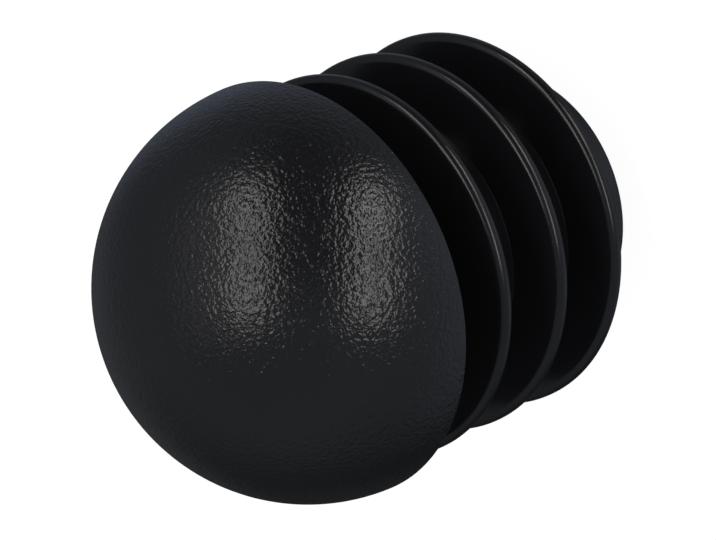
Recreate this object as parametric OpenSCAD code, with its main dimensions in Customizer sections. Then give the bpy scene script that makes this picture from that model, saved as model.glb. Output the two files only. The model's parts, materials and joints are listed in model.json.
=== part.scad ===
// Domed tube insert, a furniture glide moulded in one piece of black plastic.
// A hollow shank with thin round fins presses into the open end of a round tube,
// and a smooth half-ball head covers the tube's cut edge and meets the floor.
// The model stands on its open tail end, head up, with its axis on Z.

/* [Tube] */
// Outside diameter of the tube, which the head's rim matches
tube_d = 25; // [21:0.5:40]
// Wall thickness of the tube
tube_wall = 1; // [0.6:0.1:2.5]

/* [Head] */
// Height of the dome from its rim to its crown
dome_h = 12; // [6:0.1:12.5]
// Plastic left at the crown, above the moulded core
crown_t = 3; // [2:0.1:5]

/* [Shank] */
// Outside diameter of the shank
shank_d = 16.4; // [12:0.1:19.5]
// Length of the shank from its tail end to the head's shoulder
shank_l = 19.7; // [16:0.1:40]
// Wall of the shank at its open tail end
shank_wall = 2; // [1.2:0.1:3.5]
// Taper of the moulded core on each side, in degrees
core_draft = 0.5; // [0.25:0.05:1.5]
// Rounding of the tail end's outer edge
tail_round = 0.4; // [0.1:0.05:1]

/* [Fins] */
// Number of fins along the shank
fin_count = 3; // [1:1:3]
// How much wider the fins are than the tube's bore
fin_squeeze = 0.3; // [0.1:0.05:1]
// Thickness of a fin
fin_t = 0.75; // [0.7:0.05:1.8]
// Open gap between the head's shoulder and the first fin
fin_gap = 4.3; // [2.5:0.1:7]
// Distance from one fin to the next
fin_pitch = 5; // [3:0.1:6.5]
// Rounding of a fin's rim on the side of the head
fin_round = 0.45; // [0.1:0.05:0.45]
// Rounding of a fin's rim on the side of the tail
fin_edge = 0.2; // [0.05:0.05:0.2]
// Fillet where the fins and the shoulder meet the shank
root_fillet = 0.1; // [0.1:0.05:0.8]

/* [Hidden] */
$fn = 144;

// The head's ball passes through the rim and the crown.
head_r = tube_d / 2;
ball_r = (head_r * head_r + dome_h * dome_h) / (2 * dome_h);
crown_z = shank_l + dome_h;
ball_z = crown_z - ball_r;

shank_r = shank_d / 2;
fin_r = tube_d / 2 - tube_wall + fin_squeeze / 2;

// The core tapers from the tail's mouth to a round end that the taper meets as a tangent.
core_top = crown_z - crown_t;
mouth_r = shank_r - shank_wall;
core_end_r = (mouth_r - core_top * tan(core_draft)) * cos(core_draft) / (1 - sin(core_draft));
core_end_z = core_top - core_end_r;

// Depth by which joined outlines run into each other
lap = 0.2;

// Half section of the head: the ball above the shoulder's plane.
module head_section() {
    intersection() {
        translate([0, ball_z]) circle(ball_r);
        translate([0, shank_l]) square([ball_r, dome_h]);
    }
}

// Half section of the shank, with its outer edge rounded at the tail.
module shank_section() {
    translate([0, tail_round]) square([shank_r, shank_l + lap - tail_round]);
    square([shank_r - tail_round, tail_round]);
    intersection() {
        translate([shank_r - tail_round, tail_round]) circle(tail_round);
        square([shank_r, tail_round]);
    }
}

// Concave fillet in the corner of the shank and a face above it.
module root_section() {
    difference() {
        translate([-lap, -lap]) square(root_fillet + lap);
        translate([root_fillet, root_fillet]) circle(root_fillet);
    }
}

// Upper half of a disc, which rounds one side of a fin's rim.
module rim_round(r) {
    intersection() {
        circle(r);
        translate([-r, 0]) square([2 * r, r]);
    }
}

// Half section of one fin from its tail side up: three bars, with the rim rounded on both sides.
module fin_section() {
    reach = fin_r - shank_r;
    translate([-lap, fin_edge]) square([reach + lap, fin_t - fin_edge - fin_round]);
    translate([-lap, 0]) square([reach + lap - fin_edge, fin_t - fin_round]);
    translate([-lap, 0]) square([reach + lap - fin_round, fin_t]);
    translate([reach - fin_round, fin_t - fin_round]) rim_round(fin_round);
    translate([reach - fin_edge, fin_edge]) mirror([0, 1]) rim_round(fin_edge);
    translate([0, fin_t]) root_section();
    mirror([0, 1]) root_section();
}

// Half section of the moulded core, open at the tail.
module core_section() {
    end_x = core_end_r * cos(core_draft);
    end_z = core_end_z + core_end_r * sin(core_draft);
    mouth_x = mouth_r + lap * tan(core_draft);
    polygon([[0, -lap], [mouth_x, -lap], [end_x, end_z], [0, end_z]]);
    intersection() {
        translate([0, core_end_z]) circle(core_end_r);
        translate([0, end_z - lap]) square([core_end_r, core_top - end_z + 2 * lap]);
    }
}

// The whole moulding, one half section turned about the axis.
module domed_insert() {
    color([0.089, 0.091, 0.1])
    rotate_extrude()
    difference() {
        union() {
            head_section();
            shank_section();
            translate([shank_r, shank_l]) mirror([0, 1]) root_section();
            for (i = [0 : fin_count - 1]) {
                fin_z = shank_l - fin_gap - fin_t - i * fin_pitch;
                translate([shank_r, fin_z]) fin_section();
            }
        }
        core_section();
    }
}

domed_insert();
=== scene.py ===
"""Domed tube insert, a furniture glide moulded in one piece of black plastic.

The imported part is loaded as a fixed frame. One finely divided skin, turned from the same half section as
the solid, stands for it and wears the moulding's finishes. Lengths are in metres and the part's axis is +Z.
"""
import json
import logging
import math
from dataclasses import dataclass
from enum import Enum

import bpy
import numpy as np
from mathutils import Matrix, Vector

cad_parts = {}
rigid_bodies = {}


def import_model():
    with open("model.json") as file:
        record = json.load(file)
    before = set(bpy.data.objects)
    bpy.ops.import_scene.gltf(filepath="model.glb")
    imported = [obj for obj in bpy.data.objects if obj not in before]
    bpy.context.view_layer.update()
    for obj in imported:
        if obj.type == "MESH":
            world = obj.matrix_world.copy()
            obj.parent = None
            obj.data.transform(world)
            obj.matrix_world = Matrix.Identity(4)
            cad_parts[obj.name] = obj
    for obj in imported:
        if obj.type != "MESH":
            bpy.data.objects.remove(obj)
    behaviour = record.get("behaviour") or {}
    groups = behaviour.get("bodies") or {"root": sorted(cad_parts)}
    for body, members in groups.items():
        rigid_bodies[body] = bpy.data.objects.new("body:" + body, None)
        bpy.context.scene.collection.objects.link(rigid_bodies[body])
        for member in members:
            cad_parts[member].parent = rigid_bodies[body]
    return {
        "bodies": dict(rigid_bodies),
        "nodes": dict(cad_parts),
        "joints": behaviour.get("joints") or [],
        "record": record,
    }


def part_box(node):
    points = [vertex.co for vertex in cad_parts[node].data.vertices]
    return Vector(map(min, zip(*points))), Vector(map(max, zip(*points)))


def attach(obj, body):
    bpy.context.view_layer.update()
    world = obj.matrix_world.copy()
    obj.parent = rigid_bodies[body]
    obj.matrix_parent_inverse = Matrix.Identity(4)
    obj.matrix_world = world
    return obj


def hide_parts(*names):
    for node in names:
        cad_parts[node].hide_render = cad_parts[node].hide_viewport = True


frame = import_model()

log = logging.getLogger("glide")

MM = 0.001
NODE = "domed_insert"

Colour = tuple[float, float, float]


class Skin(Enum):
    """The moulding's surfaces, each with a finish of its own. The value is the mesh's material index."""

    DOME = 0
    SHANK = 1
    ROOT = 2
    CORE = 3


class Board:
    """A node tree with short calls to add nodes and join their sockets."""

    def __init__(self, tree: bpy.types.NodeTree) -> None:
        """Empties the tree.

        Args:
            tree: the node tree of a material or a world.
        """
        self.tree = tree
        self.tree.nodes.clear()

    def add(self, kind: str, inputs: dict[str, object] | None = None, **settings: object) -> bpy.types.Node:
        """Adds one node.

        Args:
            kind: the node's type name.
            inputs: values for its sockets, by socket name.
            settings: values for its own properties.

        Returns:
            The new node.
        """
        node = self.tree.nodes.new(kind)
        for name, value in settings.items():
            setattr(node, name, value)
        for name, value in (inputs or {}).items():
            node.inputs[name].default_value = value
        return node

    def join(self, source: bpy.types.NodeSocket, target: bpy.types.NodeSocket) -> None:
        """Links one socket to another."""
        self.tree.links.new(source, target)


@dataclass(frozen=True)
class PlasticFinish:
    """One finish of the black plastic: a dark body with a gloss that the mould's own surface breaks up.

    The height of the skin is the sum of a grain, a finer grain on it, rings round the axis and scattered
    specks. The grains are smooth noise of the given pitch, the rings are noise that changes with height along
    the axis alone, and the specks stand where another noise rises above a threshold. The body colour drifts
    between the pigment's two shades, colour and tint, and the roughness wanders in patches.
    """

    name: str
    colour: Colour
    tint: Colour
    roughness: float
    roughness_swing: float
    grain_pitch: float
    grain_depth: float
    fine_pitch: float
    fine_depth: float
    ring_pitch: float
    ring_depth: float
    speck_pitch: float = 0.2 * MM
    speck_depth: float = 0.0
    speck_threshold: tuple[float, float] = (0.62, 0.82)
    drift_pitch: float = 4.0 * MM
    patch_pitch: float = 1.2 * MM
    ior: float = 1.46
    specular: float = 0.5

    def material(self) -> bpy.types.Material:
        """Makes the finish's material.

        Returns:
            A node material that reads the piece's Object coordinates.
        """
        made = bpy.data.materials.new(self.name)
        made.use_nodes = True
        board = Board(made.node_tree)
        place = board.add("ShaderNodeTexCoord").outputs["Object"]
        gloss = {"IOR": self.ior, "Specular IOR Level": self.specular}
        plastic = board.add("ShaderNodeBsdfPrincipled", gloss)
        out = board.add("ShaderNodeOutputMaterial")
        board.join(plastic.outputs["BSDF"], out.inputs["Surface"])
        self._colour(board, place, plastic)
        self._gloss(board, place, plastic)
        self._relief(board, place, plastic)
        return made

    def _noise(
        self, board: Board, place: bpy.types.NodeSocket, pitch: float, octaves: int
    ) -> bpy.types.NodeSocket:
        """Adds smooth noise.

        Args:
            board: the material's nodes.
            place: the coordinates that it reads.
            pitch: the distance from one swell to the next.
            octaves: how many finer layers it has, each half as strong as the last.

        Returns:
            The noise's value, from 0 to 1.
        """
        noise = board.add("ShaderNodeTexNoise", {"Scale": 1 / pitch, "Detail": octaves, "Roughness": 0.5})
        board.join(place, noise.inputs["Vector"])
        return noise.outputs["Fac"]

    def _colour(self, board: Board, place: bpy.types.NodeSocket, plastic: bpy.types.Node) -> None:
        """Drifts the body colour slowly between the pigment's two shades.

        Args:
            board: the material's nodes.
            place: the coordinates that it reads.
            plastic: the shader that takes the colour.
        """
        drift = self._noise(board, place, self.drift_pitch, octaves=3)
        shade = board.add("ShaderNodeMix", data_type="RGBA")
        shade.inputs["A"].default_value = (*self.colour, 1)
        shade.inputs["B"].default_value = (*self.tint, 1)
        board.join(drift, shade.inputs["Factor"])
        board.join(shade.outputs["Result"], plastic.inputs["Base Color"])

    def _gloss(self, board: Board, place: bpy.types.NodeSocket, plastic: bpy.types.Node) -> None:
        """Lets the roughness wander a little about its mean, in patches.

        Args:
            board: the material's nodes.
            place: the coordinates that it reads.
            plastic: the shader that takes the roughness.
        """
        patch = self._noise(board, place, self.patch_pitch, octaves=2)
        least, most = self.roughness - self.roughness_swing, self.roughness + self.roughness_swing
        spread = board.add("ShaderNodeMapRange", {"To Min": least, "To Max": most})
        board.join(patch, spread.inputs["Value"])
        board.join(spread.outputs["Result"], plastic.inputs["Roughness"])

    def _relief(self, board: Board, place: bpy.types.NodeSocket, plastic: bpy.types.Node) -> None:
        """Stacks the rings, the grain, the finer grain and the specks as bumps, each on the last.

        Args:
            board: the material's nodes.
            place: the coordinates that it reads.
            plastic: the shader that takes the normal.
        """
        along = board.add("ShaderNodeMapping", {"Scale": (0, 0, 1)})
        board.join(place, along.inputs["Vector"])
        layers = [
            (self._noise(board, along.outputs["Vector"], self.ring_pitch, octaves=2), self.ring_depth),
            (self._noise(board, place, self.grain_pitch, octaves=1), self.grain_depth),
            (self._noise(board, place, self.fine_pitch, octaves=1), self.fine_depth),
        ]
        if self.speck_depth > 0:
            layers.append((self._specks(board, place), self.speck_depth))
        normal = None
        for height, depth in layers:
            bump = board.add("ShaderNodeBump", {"Strength": 1.0, "Distance": depth})
            board.join(height, bump.inputs["Height"])
            if normal is not None:
                board.join(normal, bump.inputs["Normal"])
            normal = bump.outputs["Normal"]
        board.join(normal, plastic.inputs["Normal"])

    def _specks(self, board: Board, place: bpy.types.NodeSocket) -> bpy.types.NodeSocket:
        """Adds scattered specks: noise that is cut off below a threshold and rises smoothly above it.

        Args:
            board: the material's nodes.
            place: the coordinates that it reads.

        Returns:
            The specks' height, from 0 to 1.
        """
        low, high = self.speck_threshold
        limits = {"From Min": low, "From Max": high}
        cut = board.add("ShaderNodeMapRange", limits, interpolation_type="SMOOTHSTEP")
        board.join(self._noise(board, place, self.speck_pitch, octaves=0), cut.inputs["Value"])
        return cut.outputs["Result"]


FINISHES: dict[Skin, PlasticFinish] = {
    Skin.DOME: PlasticFinish(
        name="grained_black_plastic",
        colour=(0.0079, 0.0082, 0.0094),
        tint=(0.0097, 0.0101, 0.0116),
        roughness=0.18,
        roughness_swing=0.04,
        grain_pitch=0.265 * MM,
        grain_depth=0.056 * MM,
        fine_pitch=0.12 * MM,
        fine_depth=0.014 * MM,
        ring_pitch=2.0 * MM,
        ring_depth=0.001 * MM,
        speck_pitch=0.20 * MM,
        speck_depth=0.010 * MM,
    ),
    Skin.SHANK: PlasticFinish(
        name="smooth_black_plastic",
        colour=(0.0068, 0.0071, 0.0081),
        tint=(0.0084, 0.0088, 0.0101),
        roughness=0.22,
        roughness_swing=0.05,
        grain_pitch=0.45 * MM,
        grain_depth=0.004 * MM,
        fine_pitch=0.12 * MM,
        fine_depth=0.001 * MM,
        ring_pitch=0.22 * MM,
        ring_depth=0.006 * MM,
    ),
    Skin.ROOT: PlasticFinish(
        name="dull_black_plastic",
        colour=(0.0066, 0.0069, 0.0079),
        tint=(0.0080, 0.0084, 0.0097),
        roughness=0.30,
        roughness_swing=0.06,
        grain_pitch=0.35 * MM,
        grain_depth=0.008 * MM,
        fine_pitch=0.10 * MM,
        fine_depth=0.002 * MM,
        ring_pitch=0.30 * MM,
        ring_depth=0.006 * MM,
        specular=0.08,
    ),
    Skin.CORE: PlasticFinish(
        name="matt_black_plastic",
        colour=(0.0072, 0.0075, 0.0085),
        tint=(0.0088, 0.0091, 0.0103),
        roughness=0.46,
        roughness_swing=0.06,
        grain_pitch=0.30 * MM,
        grain_depth=0.010 * MM,
        fine_pitch=0.10 * MM,
        fine_depth=0.002 * MM,
        ring_pitch=0.40 * MM,
        ring_depth=0.008 * MM,
    ),
}


class HalfSection:
    """The part's outline on one side of the axis, as (radius, height) points with a skin for each stretch.

    A straight stretch has a guard point near each end, GUARD away from it, or GUARD_SHARE of a short stretch.
    """

    GUARD = 0.04 * MM
    GUARD_SHARE = 0.3

    def __init__(self, start: tuple[float, float]) -> None:
        """Starts the outline.

        Args:
            start: its first point, on the axis.
        """
        self._runs: list[np.ndarray] = [np.array([start])]
        self._skins: list[np.ndarray] = []

    def _extend(self, run: np.ndarray, skin: Skin) -> None:
        """Adds points, whose stretches all have one skin."""
        self._runs.append(run)
        self._skins.append(np.full(len(run), skin.value))

    def line(self, radius: float, height: float, skin: Skin) -> None:
        """Runs straight to a point: start + (end - start) * share.

        The guard points let a flat stretch shade as a flat.

        Args:
            radius: the end's distance from the axis.
            height: the end's height.
            skin: the finish of this stretch.
        """
        start = self._runs[-1][-1]
        end = np.array([radius, height])
        guard = min(self.GUARD / np.linalg.norm(end - start), self.GUARD_SHARE)
        share = np.array([guard, 1 - guard, 1.0])[:, None]
        self._extend(start + (end - start) * share, skin)

    def arc(
        self, centre: tuple[float, float], size: float, turn: tuple[float, float], steps: int, skin: Skin
    ) -> None:
        """Runs round a centre: centre + size * (cos a, sin a), with a going evenly through the turn.

        Args:
            centre: the arc's centre as (radius, height).
            size: the arc's own radius.
            turn: its first and last angle, in degrees, from the outward direction.
            steps: how many stretches it is cut into.
            skin: the finish of this stretch.
        """
        angle = np.radians(np.linspace(*turn, steps + 1)[1:])
        self._extend(np.array(centre) + size * np.stack([np.cos(angle), np.sin(angle)], axis=-1), skin)

    def points(self) -> np.ndarray:
        """Returns the outline's points, one row each, with both ends exactly on the axis."""
        outline = np.concatenate(self._runs)
        outline[[0, -1], 0] = 0.0
        return outline

    def skins(self) -> np.ndarray:
        """Returns the material index of each stretch between two points."""
        return np.concatenate(self._skins)


@dataclass
class DomedInsert:
    """The whole moulding: half-ball head, finned shank and the tapered core in it.

    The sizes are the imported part's. The fins' draft and the softened sharp edges are the skin's own, and the
    steps say into how many stretches each round is cut.
    """

    head_r: float
    crown_z: float
    shoulder_z: float
    fin_r: float
    shank_r: float = 8.2 * MM
    shank_wall: float = 2.0 * MM
    crown_t: float = 3.0 * MM
    core_draft_deg: float = 0.5
    tail_round: float = 0.4 * MM
    fin_count: int = 3
    fin_t: float = 0.75 * MM
    fin_gap: float = 4.3 * MM
    fin_pitch: float = 5.0 * MM
    fin_round: float = 0.45 * MM
    fin_edge: float = 0.2 * MM
    fin_draft_deg: float = 1.2
    root_fillet: float = 0.1 * MM
    sharp_edge: float = 0.05 * MM
    ball_steps: int = 88
    rim_steps: int = 5
    root_steps: int = 6
    fin_round_steps: int = 12
    fin_edge_steps: int = 8
    tail_steps: int = 7
    mouth_steps: int = 4
    core_steps: int = 28
    columns: int = 256

    @classmethod
    def from_frame(cls, loaded: dict) -> "DomedInsert":
        """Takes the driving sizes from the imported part.


        Returns:
            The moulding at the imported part's size.
        """
        low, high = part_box(NODE)
        mounts = {mount["name"]: mount for mount in loaded["record"]["mounts"]}
        return cls(
            head_r=(high.x - low.x) / 2,
            crown_z=high.z,
            shoulder_z=mounts["tube_seat"]["pos_m"][2],
            fin_r=mounts["tube_grip"]["dims"]["r_mm"] * MM,
        )

    def half_section(self) -> HalfSection:
        """Draws the outline from the crown down the outside, round the tail and up the core.

        Returns:
            The finished outline.
        """
        section = HalfSection((0.0, self.crown_z))
        self._draw_head(section)
        self._draw_fins(section)
        self._draw_tail(section)
        self._draw_core(section)
        return section

    def _draw_head(self, section: HalfSection) -> None:
        """Draws the ball from the crown to its rim and the shoulder back to the shank.

        The ball goes through the rim and the crown, so its radius is (rim² + rise²) / (2 rise). A small arc
        that touches both the ball and the shoulder's plane takes the sharpness off the rim.

        Args:
            section: the outline to add to.
        """
        rise = self.crown_z - self.shoulder_z
        ball_r = (self.head_r**2 + rise**2) / (2 * rise)
        ball_z = self.crown_z - ball_r
        edge = self.sharp_edge
        edge_z = self.shoulder_z + edge
        edge_r = math.sqrt((ball_r - edge) ** 2 - (edge_z - ball_z) ** 2)
        meet = math.degrees(math.atan2(edge_z - ball_z, edge_r))
        section.arc((0.0, ball_z), ball_r, (90, meet), self.ball_steps, Skin.DOME)
        section.arc((edge_r, edge_z), edge, (meet, -90), self.rim_steps, Skin.DOME)
        section.line(self.shank_r + self.root_fillet, self.shoulder_z, Skin.SHANK)
        self._root(section, self.shoulder_z, below=True)

    def _root(self, section: HalfSection, face_z: float, below: bool) -> None:
        """Draws the fillet between the shank and a face.

        Args:
            section: the outline to add to.
            face_z: the face's height.
            below: True where the shank goes on below the face.
        """
        size = self.root_fillet
        centre = (self.shank_r + size, face_z - size if below else face_z + size)
        section.arc(centre, size, (90, 180) if below else (180, 270), self.root_steps, Skin.ROOT)

    def _draw_fins(self, section: HalfSection) -> None:
        """Draws each fin in turn: root, upper face, full round, rim, light round, lower face, root.

        Both faces slope by the moulding draft, so a fin is thicker at its root by twice reach * tan(draft).

        Args:
            section: the outline to add to.
        """
        full, light = self.fin_round, self.fin_edge
        slope = (self.fin_r - self.shank_r) * math.tan(math.radians(self.fin_draft_deg))
        for number in range(self.fin_count):
            top = self.shoulder_z - self.fin_gap - number * self.fin_pitch
            bottom = top - self.fin_t
            section.line(self.shank_r, top + slope + self.root_fillet, Skin.SHANK)
            self._root(section, top + slope, below=False)
            section.line(self.fin_r - full, top, Skin.SHANK)
            upper, lower = (self.fin_r - full, top - full), (self.fin_r - light, bottom + light)
            section.arc(upper, full, (90, 0), self.fin_round_steps, Skin.SHANK)
            section.line(self.fin_r, bottom + light, Skin.SHANK)
            section.arc(lower, light, (0, -90), self.fin_edge_steps, Skin.SHANK)
            section.line(self.shank_r + self.root_fillet, bottom - slope, Skin.SHANK)
            self._root(section, bottom - slope, below=True)

    def _draw_tail(self, section: HalfSection) -> None:
        """Draws the plain tail, its rounded edge and the flat end in to the core's mouth.

        Args:
            section: the outline to add to.
        """
        size = self.tail_round
        section.line(self.shank_r, size, Skin.SHANK)
        section.arc((self.shank_r - size, size), size, (0, -90), self.tail_steps, Skin.SHANK)
        section.line(self.shank_r - self.shank_wall + self.sharp_edge, 0.0, Skin.SHANK)

    def _draw_core(self, section: HalfSection) -> None:
        """Draws the core from its mouth up its taper to the round end, which the taper meets as a tangent.

        With mouth radius m, top height t and draft d, the round end's radius is
        (m - t tan d) cos d / (1 - sin d).

        Args:
            section: the outline to add to.
        """
        edge = self.sharp_edge
        draft = math.radians(self.core_draft_deg)
        mouth_r = self.shank_r - self.shank_wall
        top = self.crown_z - self.crown_t
        end_r = (mouth_r - top * math.tan(draft)) * math.cos(draft) / (1 - math.sin(draft))
        end_z = top - end_r
        section.arc((mouth_r + edge, edge), edge, (-90, -180), self.mouth_steps, Skin.CORE)
        section.line(end_r * math.cos(draft), end_z + end_r * math.sin(draft), Skin.CORE)
        section.arc((0.0, end_z), end_r, (self.core_draft_deg, 90), self.core_steps, Skin.CORE)

    def _surface(self) -> tuple[np.ndarray, np.ndarray]:
        """Turns the half section round the axis: (r cos a, r sin a, z) for each point and each column.

        The outline's two end points are on the axis, so each is one vertex.

        Returns:
            The vertices, the poles first and last, and each stretch's material index.
        """
        outline = self.half_section()
        points = outline.points()
        angle = np.linspace(0, 2 * math.pi, self.columns, endpoint=False)
        radius, height = points[1:-1, 0, None], points[1:-1, 1, None]
        turned = np.stack([radius * np.cos(angle), radius * np.sin(angle), height + 0 * angle], axis=-1)
        crown, core_top = np.insert(points[[0, -1]], 1, 0.0, axis=1)[:, None, :]
        return np.concatenate([crown, turned.reshape(-1, 3), core_top]), outline.skins()

    def _faces(self, rings: int, columns: int) -> tuple[np.ndarray, np.ndarray]:
        """Numbers the faces of the turned grid, anticlockwise as seen from outside.

        Args:
            rings: how many rings of vertices lie between the poles.
            columns: how many vertices a ring has.

        Returns:
            The quads between rings, ring by ring, and the triangles round the crown and then the core's top.
        """
        grid = 1 + np.arange(rings * columns).reshape(rings, columns)
        after = np.roll(grid, -1, axis=1)
        quads = np.stack([grid[:-1], grid[1:], after[1:], after[:-1]], axis=-1).reshape(-1, 4)
        crown = np.zeros(columns, int)
        core_top = np.full(columns, 1 + rings * columns)
        caps = np.concatenate([
            np.stack([crown, grid[0], after[0]], axis=-1),
            np.stack([grid[-1], core_top, after[-1]], axis=-1),
        ])
        return quads, caps

    def _mesh(self) -> bpy.types.Mesh:
        """Puts the turned grid into a mesh, each face with the material index of its stretch.

        Returns:
            The mesh, shaded smooth.
        """
        vertices, skins = self._surface()
        columns = self.columns
        quads, caps = self._faces(len(skins) - 1, columns)
        skin_of_face = np.concatenate([
            np.repeat(skins[1:-1], columns),
            np.repeat(skins[[0, -1]], columns),
        ])
        corners = np.concatenate([quads.ravel(), caps.ravel()])
        sizes = np.concatenate([np.full(len(quads), 4), np.full(len(caps), 3)])
        mesh = bpy.data.meshes.new("moulded_skin")
        mesh.vertices.add(len(vertices))
        mesh.vertices.foreach_set("co", vertices.astype(np.float32).ravel())
        mesh.loops.add(len(corners))
        mesh.loops.foreach_set("vertex_index", corners.astype(np.int32))
        mesh.polygons.add(len(sizes))
        mesh.polygons.foreach_set("loop_start", (np.cumsum(sizes) - sizes).astype(np.int32))
        mesh.polygons.foreach_set("material_index", skin_of_face.astype(np.int32))
        mesh.update(calc_edges=True)
        mesh.validate()
        mesh.shade_smooth()
        return mesh

    def build(self) -> bpy.types.Object:
        """Makes the moulding's skin and lets it stand for the solid.

        Returns:
            The piece, riding on the part's only body.
        """
        piece = bpy.data.objects.new("moulded_skin", self._mesh())
        bpy.context.scene.collection.objects.link(piece)
        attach(piece, "root")
        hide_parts(NODE)
        return piece

    def dress(self, piece: bpy.types.Object) -> None:
        """Gives each skin of the piece its finish, in the order of the material indices."""
        for skin in Skin:
            piece.data.materials.append(FINISHES[skin].material())


@dataclass(frozen=True)
class PhotoCamera:
    """The photograph's viewpoint, given against the part's axis and the centre of its rim."""

    axis_angle_deg: float = 47.74
    roll_deg: float = -112.96
    distance: float = 213.2 * MM
    focal_px: float = 3692.0
    rim_px: tuple[float, float] = (302.0, 290.6)
    image_px: tuple[int, int] = (716, 540)
    sensor_mm: float = 36.0
    near_clip: float = 5.0 * MM

    def axes(self) -> np.ndarray:
        """Works out the camera's own axes.

        The view line leans from +Z towards -Y by the axis angle, the picture is rolled about it, and the
        camera is then swung so that the rim's centre lands on its pixel.

        Returns:
            Rows that point right, up and back, in the part's frame.
        """
        lean = math.radians(self.axis_angle_deg)
        roll = math.radians(self.roll_deg)
        back = np.array([0.0, -math.sin(lean), math.cos(lean)])
        up = np.array([0.0, math.cos(lean), math.sin(lean)])
        right = np.cross(up, back)
        rolled_right = math.cos(roll) * right + math.sin(roll) * up
        rolled_up = math.cos(roll) * up - math.sin(roll) * right
        across = self.rim_px[0] - self.image_px[0] / 2
        above = self.image_px[1] / 2 - self.rim_px[1]
        swing = Vector((0, 0, -1)).rotation_difference(Vector((across, above, -self.focal_px)))
        return np.array(swing.to_matrix()) @ np.stack([rolled_right, rolled_up, back])

    def place(self, rim: Vector) -> np.ndarray:
        """Makes the camera and sets it as the scene's own.

        Args:
            rim: the centre of the head's rim.

        Returns:
            The camera's axes, as axes() gives them.
        """
        axes = self.axes()
        lean = math.radians(self.axis_angle_deg)
        stand = rim + Vector((0, -math.sin(lean), math.cos(lean))) * self.distance
        lens = bpy.data.cameras.new("photo_camera")
        lens.sensor_width = self.sensor_mm
        lens.lens = self.focal_px * self.sensor_mm / self.image_px[0]
        lens.clip_start = self.near_clip
        camera = bpy.data.objects.new("photo_camera", lens)
        camera.matrix_world = Matrix.Translation(stand) @ Matrix(axes.T.tolist()).to_4x4()
        bpy.context.scene.collection.objects.link(camera)
        bpy.context.scene.camera = camera
        return axes


@dataclass(frozen=True)
class Softbox:
    """A lamp behind a white cloth, placed by where its image lies on the ball.

    The image is an upright bar at the sideways tilt of the ball's normal, from one upward tilt to another.
    A lamp that is not in_gloss lights the plastic's body alone and has no image.
    """

    name: str
    side_tilt_deg: float
    foot_tilt_deg: float
    top_tilt_deg: float
    width_deg: float
    radiance: float
    colour: Colour = (1.0, 0.975, 0.94)
    distance: float = 0.36
    in_gloss: bool = True

    def _seen_in(self, up_tilt_deg: float) -> np.ndarray:
        """Finds what a camera sees mirrored where the ball's normal has the side tilt and an upward tilt.

        A view along v, mirrored in a surface with normal n, looks along 2 (n.v) n - v.

        Args:
            up_tilt_deg: the normal's tilt from the view line, upward in the picture.

        Returns:
            The mirrored direction as (right, up, back).
        """
        side, up = math.radians(self.side_tilt_deg), math.radians(up_tilt_deg)
        normal = np.array([math.sin(side), math.cos(side) * math.sin(up), math.cos(side) * math.cos(up)])
        view = np.array([0.0, 0.0, 1.0])
        return 2 * normal[2] * normal - view

    def place(self, axes: np.ndarray, target: Vector) -> bpy.types.Object:
        """Hangs the lamp so that it faces the part and its image runs from the foot to the top.

        A flat lamp that glows evenly with a given radiance has the power pi * area * radiance.

        Args:
            axes: the camera's right, up and back directions.
            target: the point that it faces.

        Returns:
            The lamp.
        """
        foot = Vector(axes.T @ self._seen_in(self.foot_tilt_deg))
        top = Vector(axes.T @ self._seen_in(self.top_tilt_deg))
        out = (foot + top).normalized()
        upright = (top - foot).normalized()
        across = upright.cross(out)
        light = bpy.data.lights.new(self.name, "AREA")
        light.shape = "RECTANGLE"
        light.size = 2 * self.distance * math.tan(math.radians(self.width_deg / 2))
        light.size_y = 2 * self.distance * math.tan(foot.angle(top) / 2)
        light.energy = math.pi * light.size * light.size_y * self.radiance
        light.color = self.colour
        lamp = bpy.data.objects.new(self.name, light)
        turn = Matrix((across, upright, out)).transposed().to_4x4()
        lamp.matrix_world = Matrix.Translation(target + out * self.distance) @ turn
        lamp.visible_camera = False
        lamp.visible_glossy = self.in_gloss
        bpy.context.scene.collection.objects.link(lamp)
        return lamp


SOFTBOXES: tuple[Softbox, ...] = (
    Softbox(
        "left_upper_softbox",
        side_tilt_deg=-14.8, foot_tilt_deg=11.4, top_tilt_deg=29.0, width_deg=14.4, radiance=3.65,
    ),
    Softbox(
        "left_lower_softbox",
        side_tilt_deg=-14.8, foot_tilt_deg=-8.6, top_tilt_deg=10.0, width_deg=14.4, radiance=3.95,
    ),
    Softbox(
        "left_fill_softbox",
        side_tilt_deg=-25.0, foot_tilt_deg=-16.0, top_tilt_deg=28.0, width_deg=10.0, radiance=0.46,
    ),
    Softbox(
        "right_upper_softbox",
        side_tilt_deg=16.2, foot_tilt_deg=11.8, top_tilt_deg=29.0, width_deg=13.0, radiance=4.6,
    ),
    Softbox(
        "right_lower_softbox",
        side_tilt_deg=16.2, foot_tilt_deg=-8.6, top_tilt_deg=9.6, width_deg=13.0, radiance=4.4,
    ),
    Softbox(
        "low_fill_softbox",
        side_tilt_deg=-8.0, foot_tilt_deg=-45.0, top_tilt_deg=-27.0, width_deg=40.0, radiance=2.5,
        in_gloss=False,
    ),
)

GREY_WALL: Colour = (0.95, 1.0, 1.10)
BLUE_WALL: Colour = (0.86, 1.0, 1.36)


@dataclass(frozen=True)
class Glow:
    """A soft round patch on the studio's walls: lighter than the rest, or darker if its strength is negative.

    Its direction is (right, up, back) as the camera has them.
    """

    towards: tuple[float, float, float]
    reach_deg: float
    strength: float
    colour: Colour = GREY_WALL


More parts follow.
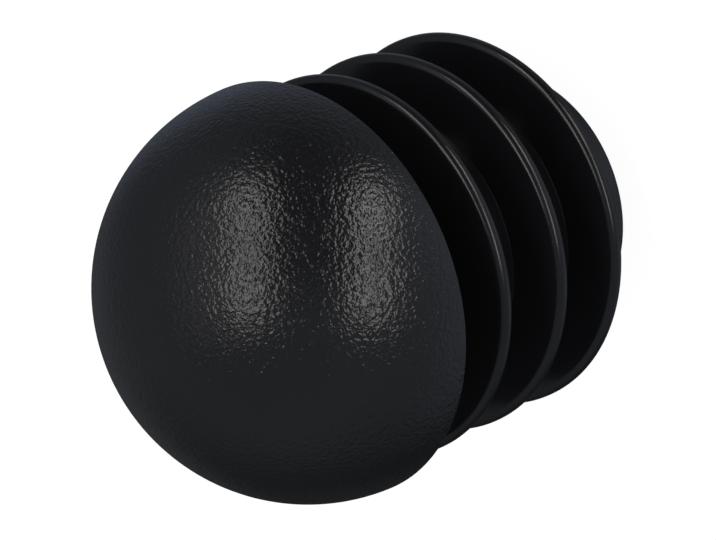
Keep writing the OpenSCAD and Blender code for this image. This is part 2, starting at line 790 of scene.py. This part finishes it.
GLOWS: tuple[Glow, ...] = (
    # Lighter walls behind the part and to its right, which the dome's edge and the fins' rims mirror
    Glow((0.00, 0.62, -0.78), 42, 0.145, BLUE_WALL),
    Glow((-0.62, 0.28, -0.73), 34, 0.02, BLUE_WALL),
    Glow((0.88, 0.46, 0.10), 30, 0.16, BLUE_WALL),
    Glow((1.00, 0.00, -0.08), 34, 0.14, BLUE_WALL),
    Glow((0.85, -0.45, -0.28), 26, 0.10, BLUE_WALL),
    Glow((-0.60, -0.20, -0.79), 36, 0.06),
    # Darker walls above, in front and below
    Glow((0.00, 0.93, 0.36), 36, -0.22),
    Glow((-0.30, 0.90, -0.25), 30, -0.055),
    Glow((0.00, 0.40, 0.92), 38, -0.21),
    Glow((0.62, -0.72, -0.30), 46, -0.07),
    Glow((0.10, -0.95, -0.28), 34, -0.04),
    Glow((-0.40, -0.82, -0.40), 40, -0.045),
    Glow((-0.45, -0.62, 0.64), 55, -0.045),
)


@dataclass(frozen=True)
class Room:
    """The studio round the part: white behind it in the picture, and dim to its gloss.

    The glow's edges are the cosines, from the camera's side, at which back_glow ends and front_glow starts.
    """

    front_glow: float = 0.255
    back_glow: float = 0.025
    glow_edges: tuple[float, float] = (-1.0, 0.15)
    colour: Colour = GREY_WALL

    def build(self, axes: np.ndarray) -> bpy.types.World:
        """Makes the world.

        A camera ray sees white of strength 1. Any other ray sees a glow that goes from back_glow, straight
        behind the part, to front_glow, which fills the camera's side, with the patches added to it.

        Args:
            axes: the camera's right, up and back directions.

        Returns:
            The scene's new world.
        """
        world = bpy.data.worlds.new("studio")
        world.use_nodes = True
        board = Board(world.node_tree)
        level = self._ramp(board, Vector(axes[2]), self.glow_edges, (self.back_glow, self.front_glow))
        total = self._tinted(board, level, self.colour)
        for glow in GLOWS:
            towards = Vector(axes.T @ np.array(glow.towards)).normalized()
            edge = math.cos(math.radians(glow.reach_deg))
            patch = self._ramp(board, towards, (edge, 1.0), (0.0, glow.strength))
            total = self._tinted(board, patch, glow.colour, total)
        dim = board.add("ShaderNodeBackground", {"Strength": 1.0})
        board.join(total, dim.inputs["Color"])
        white = board.add("ShaderNodeBackground", {"Color": (1, 1, 1, 1), "Strength": 1.0})
        ray = board.add("ShaderNodeLightPath")
        choice = board.add("ShaderNodeMixShader")
        board.join(ray.outputs["Is Camera Ray"], choice.inputs["Fac"])
        board.join(dim.outputs["Background"], choice.inputs[1])
        board.join(white.outputs["Background"], choice.inputs[2])
        out = board.add("ShaderNodeOutputWorld")
        board.join(choice.outputs["Shader"], out.inputs["Surface"])
        bpy.context.scene.world = world
        return world

    def _tinted(
        self,
        board: Board,
        level: bpy.types.NodeSocket,
        colour: Colour,
        onto: bpy.types.NodeSocket | None = None,
    ) -> bpy.types.NodeSocket:
        """Tints a level with a colour and adds it to the light so far.

        Args:
            board: the world's nodes.
            level: the level.
            colour: its colour.
            onto: the light so far, if there is any.

        Returns:
            The light with the level added.
        """
        light = board.add("ShaderNodeVectorMath", operation="MULTIPLY_ADD")
        light.inputs[0].default_value = colour
        board.join(level, light.inputs[1])
        if onto is not None:
            board.join(onto, light.inputs[2])
        return light.outputs["Vector"]

    def _ramp(
        self, board: Board, towards: Vector, across: tuple[float, float], level: tuple[float, float]
    ) -> bpy.types.NodeSocket:
        """Adds a level that goes smoothly from one value to another as a ray turns towards a direction.

        Args:
            board: the world's nodes.
            towards: the direction.
            across: the cosines of the ray's angle to it where the change starts and ends.
            level: the values there.

        Returns:
            The level.
        """
        look = board.add("ShaderNodeTexCoord").outputs["Generated"]
        facing = board.add("ShaderNodeVectorMath", operation="DOT_PRODUCT")
        facing.inputs[1].default_value = towards
        board.join(look, facing.inputs[0])
        limits = dict(zip(("From Min", "From Max", "To Min", "To Max"), (*across, *level)))
        ramp = board.add("ShaderNodeMapRange", limits, interpolation_type="SMOOTHSTEP")
        board.join(facing.outputs["Value"], ramp.inputs["Value"])
        return ramp.outputs["Result"]


@dataclass(frozen=True)
class Floor:
    """A round sheet of pale paper under the part, which takes its shadow."""

    radius: float = 80 * MM
    sides: int = 128
    paper: float = 0.55
    paper_seen: float = 0.15
    glow_seen: float = 0.95

    def build(self) -> bpy.types.Object:
        """Makes the sheet as a ring of points, (radius cos a, radius sin a, 0), in one face.

        Returns:
            The floor.
        """
        angle = np.linspace(0, 2 * math.pi, self.sides, endpoint=False)
        ring = np.stack([np.cos(angle), np.sin(angle), np.zeros(self.sides)], axis=-1) * self.radius
        mesh = bpy.data.meshes.new("paper_floor")
        mesh.from_pydata(ring.tolist(), [], [list(range(self.sides))])
        mesh.materials.append(self._paper())
        floor = bpy.data.objects.new("paper_floor", mesh)
        floor.visible_glossy = False
        bpy.context.scene.collection.objects.link(floor)
        return floor

    def _paper(self) -> bpy.types.Material:
        """Makes the paper: white to the camera but for the part's shadow, and quiet to every other ray.

        Returns:
            The floor's material.
        """
        made = bpy.data.materials.new("pale_paper")
        made.use_nodes = True
        board = Board(made.node_tree)
        ray = board.add("ShaderNodeLightPath").outputs["Is Camera Ray"]
        shade = board.add("ShaderNodeMapRange", {"To Min": self.paper, "To Max": self.paper_seen})
        board.join(ray, shade.inputs["Value"])
        matt = board.add("ShaderNodeBsdfDiffuse")
        board.join(shade.outputs["Result"], matt.inputs["Color"])
        lift = board.add("ShaderNodeMapRange", {"To Min": 0.0, "To Max": self.glow_seen})
        board.join(ray, lift.inputs["Value"])
        glow = board.add("ShaderNodeEmission", {"Color": (1, 1, 1, 1)})
        board.join(lift.outputs["Result"], glow.inputs["Strength"])
        both = board.add("ShaderNodeAddShader")
        board.join(matt.outputs["BSDF"], both.inputs[0])
        board.join(glow.outputs["Emission"], both.inputs[1])
        out = board.add("ShaderNodeOutputMaterial")
        board.join(both.outputs["Shader"], out.inputs["Surface"])
        return made


def main() -> None:
    """Builds and dresses the moulding, sets up the studio and the camera, and reports each piece."""
    logging.basicConfig(level=logging.INFO, format="%(name)s: %(message)s")
    bpy.context.scene.view_settings.view_transform = "Standard"
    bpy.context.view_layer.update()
    insert = DomedInsert.from_frame(frame)
    piece = insert.build()
    insert.dress(piece)
    log.info("%s: %d faces, stands for %s", piece.name, len(piece.data.polygons), NODE)
    floor = Floor().build()
    log.info("%s: radius %.0f mm", floor.name, Floor.radius / MM)
    rim = Vector((0, 0, insert.shoulder_z))
    axes = PhotoCamera().place(rim)
    Room().build(axes)
    for softbox in SOFTBOXES:
        lamp = softbox.place(axes, rim)
        log.info("%s: %.3f W", lamp.name, lamp.data.energy)


if __name__ == "__main__":
    main()
